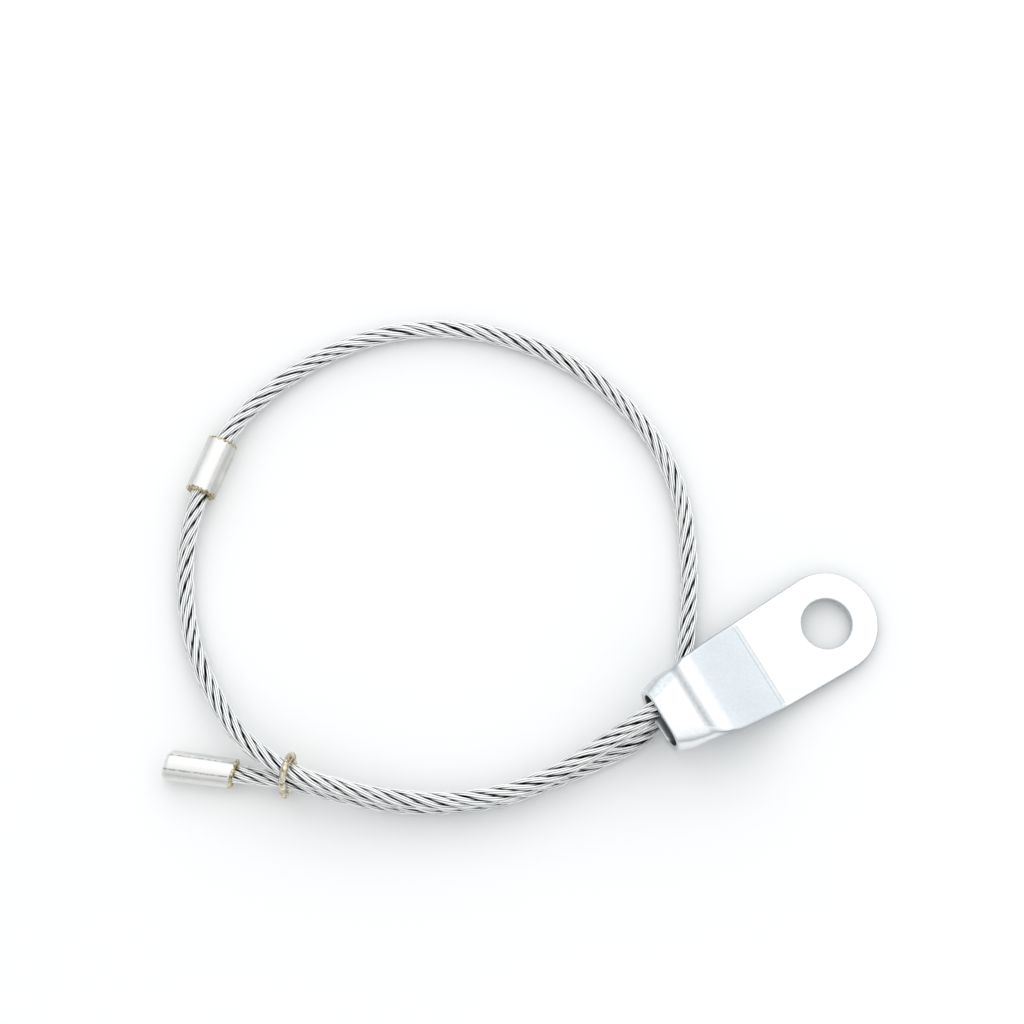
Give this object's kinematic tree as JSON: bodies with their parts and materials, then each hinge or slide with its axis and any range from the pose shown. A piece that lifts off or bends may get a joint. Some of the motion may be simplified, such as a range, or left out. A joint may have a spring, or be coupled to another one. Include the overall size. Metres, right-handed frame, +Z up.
{
  "type": "window restrictor cable",
  "caption": "Coiled steel wire rope with a flattened tube eye fitting at one end, a blind ferrule at the other, a stop sleeve and a wire keeper ring.",
  "frame": {"origin": "on the standing surface, under the middle of the hardware's box: the eye fitting, ferrules, stop sleeve and keeper ring, without the rope", "axes": "+X from the blind ferrule towards the eye fitting, +Y from the bundled legs towards the far side of the coil, +Z up from the surface that it lies on"},
  "size_m": [0.1807, 0.1307, 0.0178],
  "materials": {
    "zinc_plated_steel": "bright zinc plate, satin, slightly blue",
    "galvanised_rope": "galvanised steel wire, light grey",
    "nickel_plated_ferrule": "satin nickel plate with brass-coloured worn rims",
    "ring_wire": "warm nickel-plated brass wire, worn"
  },
  "bodies": {
    "cable": {"eye_fitting": "zinc_plated_steel", "anchor_ferrule": "nickel_plated_ferrule", "wire_rope": "galvanised_rope", "stop_sleeve": "nickel_plated_ferrule", "end_ferrule": "nickel_plated_ferrule"},
    "ring": {"keeper_ring": "ring_wire"}
  },
  "joints": [
    {"name": "ring_slide", "type": "slide", "parent": "cable", "child": "ring", "axis": [0.9494, -0.314, 0], "range_m": [0, 0.005]}
  ]
}
